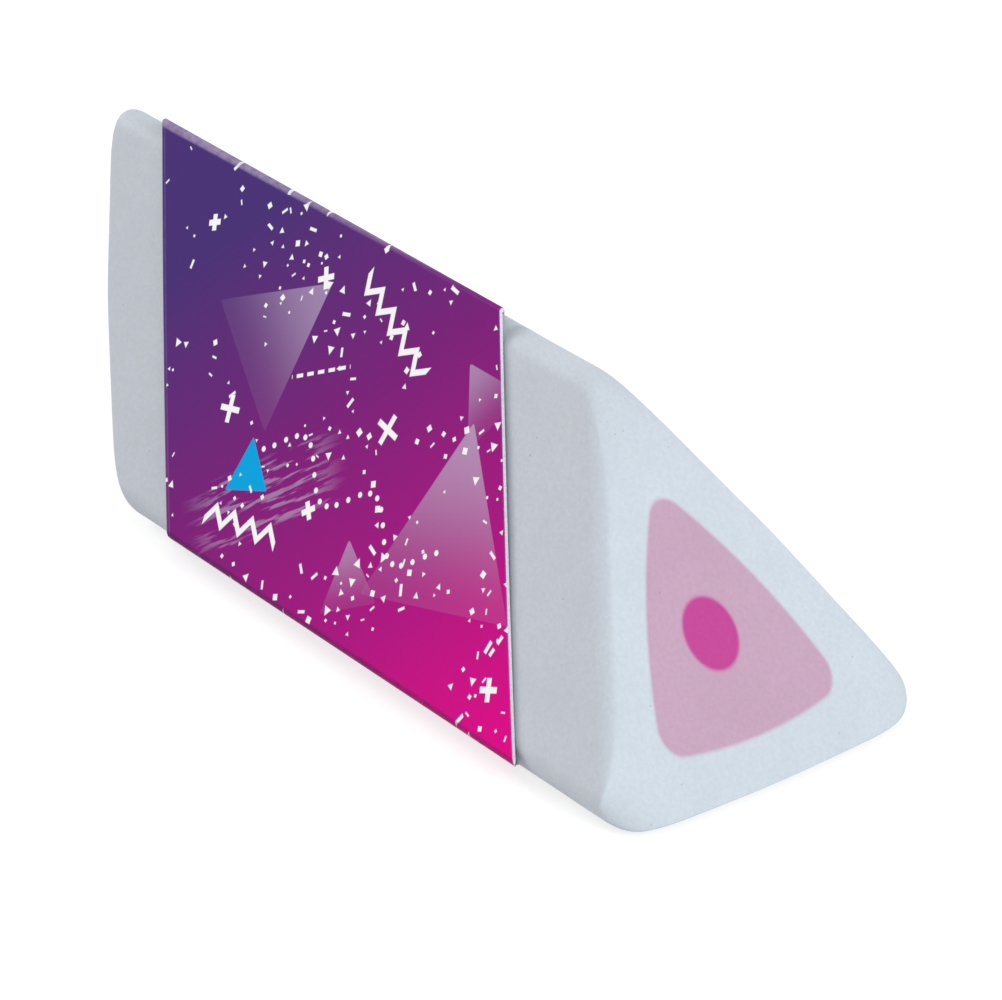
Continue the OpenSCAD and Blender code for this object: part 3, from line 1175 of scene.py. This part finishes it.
def soft_lamp(name, colour, way, distance, width, power):
    """Round lamp that shines at the origin from the given way."""
    lamp = bpy.data.lights.new(name, "AREA")
    lamp.shape = "DISK"
    lamp.size = width
    lamp.energy = power
    lamp.color = colour
    piece = bpy.data.objects.new(name, lamp)
    bpy.context.scene.collection.objects.link(piece)
    piece.location = way.normalized() * distance
    piece.rotation_mode = "QUATERNION"
    piece.rotation_quaternion = way.to_track_quat("Z", "Y")


def camera():
    data = bpy.data.cameras.new("camera")
    data.lens = CAMERA_LENS
    data.clip_start, data.clip_end = CAMERA_CLIP
    cam = bpy.data.objects.new("camera", data)
    bpy.context.scene.collection.objects.link(cam)
    a, e = CAMERA_AZIMUTH, CAMERA_ELEVATION
    back = Vector((math.sin(a) * math.cos(e), -math.cos(a) * math.cos(e), math.sin(e)))
    turn = back.to_track_quat("Z", "Y").to_matrix() @ Matrix.Rotation(CAMERA_ROLL, 3, "Z")
    cam.matrix_world = Matrix.Translation(CAMERA_AIM + back * CAMERA_DISTANCE) @ turn.to_4x4()
    bpy.context.scene.camera = cam


def dress(piece, body, node, slot, *materials):
    """Materials for a piece, and its body, the CAD node that it replaces, and its slot, which is not used."""
    for material in materials:
        piece.data.materials.append(material)
    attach(piece, body)
    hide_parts(node)


# The scene

bpy.context.scene.view_settings.view_transform = "Standard"
camera()
white_world()
floor_piece()
soft_lamp("key", KEY_COLOUR, *KEY)
soft_lamp("side", SIDE_COLOUR, *SIDE)

dress(block_piece(), "eraser", "eraser_body", "white_vinyl",
      vinyl_material("white_vinyl", WHITE_VINYL, PINK_VINYL))
dress(tint_piece(), "eraser", "tint_core", "pink_vinyl",
      vinyl_material("pink_vinyl", PINK_VINYL, WHITE_VINYL, MAGENTA_VINYL))
dress(rod_piece(), "eraser", "centre_core", "magenta_vinyl",
      vinyl_material("magenta_vinyl", MAGENTA_VINYL, PINK_VINYL))
dress(sleeve_piece(), "sleeve", "card_sleeve", "printed_card",
      print_material(), card_material(), edge_material())
dress(glue_piece(), "sleeve", "glue_strip", "glue", glue_material())
